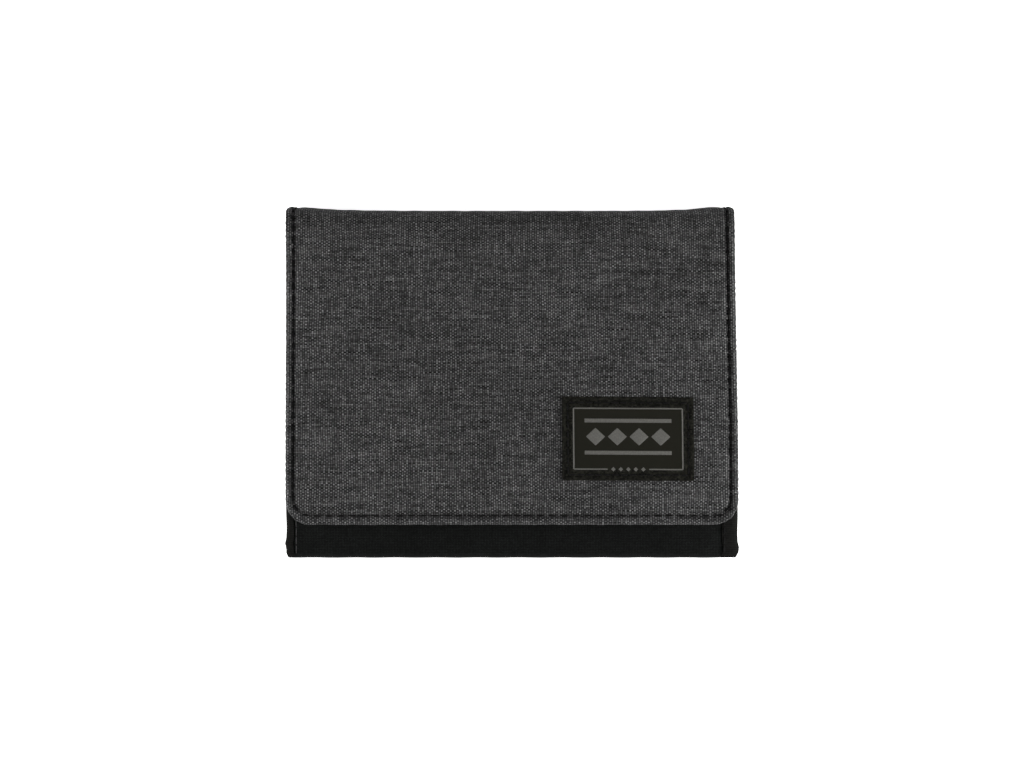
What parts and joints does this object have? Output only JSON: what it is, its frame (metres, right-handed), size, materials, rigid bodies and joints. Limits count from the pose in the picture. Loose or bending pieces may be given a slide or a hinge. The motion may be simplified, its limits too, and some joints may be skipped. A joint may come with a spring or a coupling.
{
  "type": "bifold wallet",
  "caption": "Bifold wallet of heather cloth with a woven label; it opens at the top fold to a zipped coin pocket, card pockets and a clear window.",
  "frame": {"origin": "middle of the closed wallet's bounding box in X and Y, on the plane it rests on", "axes": "+X across the wallet to the side with the label, +Y towards the fold, +Z out of the front cover"},
  "size_m": [0.125, 0.097, 0.015],
  "materials": {
    "heather_cloth": "heather textile, dry",
    "black_nylon": "woven nylon, slight sheen",
    "lining_cloth": "plain woven lining",
    "board": "plain sheet",
    "edge_tape": "ribbed edge tape",
    "zip_tape": "herringbone zip tape",
    "zip_coil": "satin nylon coil",
    "zip_metal": "dark plated metal",
    "closure_loop": "looped pile",
    "closure_hook": "hooked pile",
    "window_film": "clear film",
    "label_cloth": "woven label",
    "label_thread": "grey woven lines",
    "thread": "twisted thread"
  },
  "bodies": {
    "rear_leaf": {"rear_shell": "heather_cloth", "rear_stiffener": "board", "rear_lining": "lining_cloth", "rear_inner_panel": "black_nylon", "coin_pocket_front": "black_nylon", "coin_pocket_top_band": "black_nylon", "bottom_edge_binding": "black_nylon", "binding_left": "edge_tape", "binding_right": "edge_tape", "zip_tape_lower": "zip_tape", "zip_tape_upper": "zip_tape", "zip_coil_lower": "zip_coil", "zip_coil_upper": "zip_coil", "zip_stops": "zip_coil", "closure_loop_strip": "closure_loop", "rear_leaf_stitching": "thread", "zip_stitching": "thread"},
    "spine": {"spine_shell": "heather_cloth", "spine_lining": "lining_cloth", "spine_inner_web": "lining_cloth"},
    "front_cover": {"cover_shell": "heather_cloth", "cover_stiffener": "board", "cover_lining": "lining_cloth", "cover_inner_panel": "black_nylon", "card_pocket_back": "black_nylon", "card_pocket_back_tape": "edge_tape", "card_pocket_middle": "black_nylon", "card_pocket_middle_tape": "edge_tape", "id_window_frame": "black_nylon", "id_window": "window_film", "closure_hook_strip": "closure_hook", "cover_stitching": "thread", "label_base": "label_cloth", "label_frame_line": "label_thread", "label_motif": "label_thread", "label_stitching": "thread"},
    "zip_slider": {"zip_slider_body": "zip_metal"},
    "zip_puller": {"zip_pull_tab": "zip_metal"}
  },
  "joints": [
    {"name": "lower_fold", "type": "hinge", "parent": "rear_leaf", "child": "spine", "pos_m": [0, 0.0465, 0.002], "axis": [-1, 0, 0], "range_deg": [0, 90]},
    {"name": "upper_fold", "type": "hinge", "parent": "spine", "child": "front_cover", "pos_m": [0, 0.0465, 0.013], "axis": [-1, 0, 0], "range_deg": [0, 93]},
    {"name": "zip_travel", "type": "slide", "parent": "rear_leaf", "child": "zip_slider", "axis": [1, 0, 0], "range_m": [0, 0.088]},
    {"name": "pull_tab_swing", "type": "hinge", "parent": "zip_slider", "child": "zip_puller", "pos_m": [-0.046, 0.036, 0.0081], "axis": [0, -1, 0], "range_deg": [0, 12]}
  ],
  "couplings": [
    {"joint": "upper_fold", "follows": "lower_fold", "ratio": 1.0333}
  ]
}
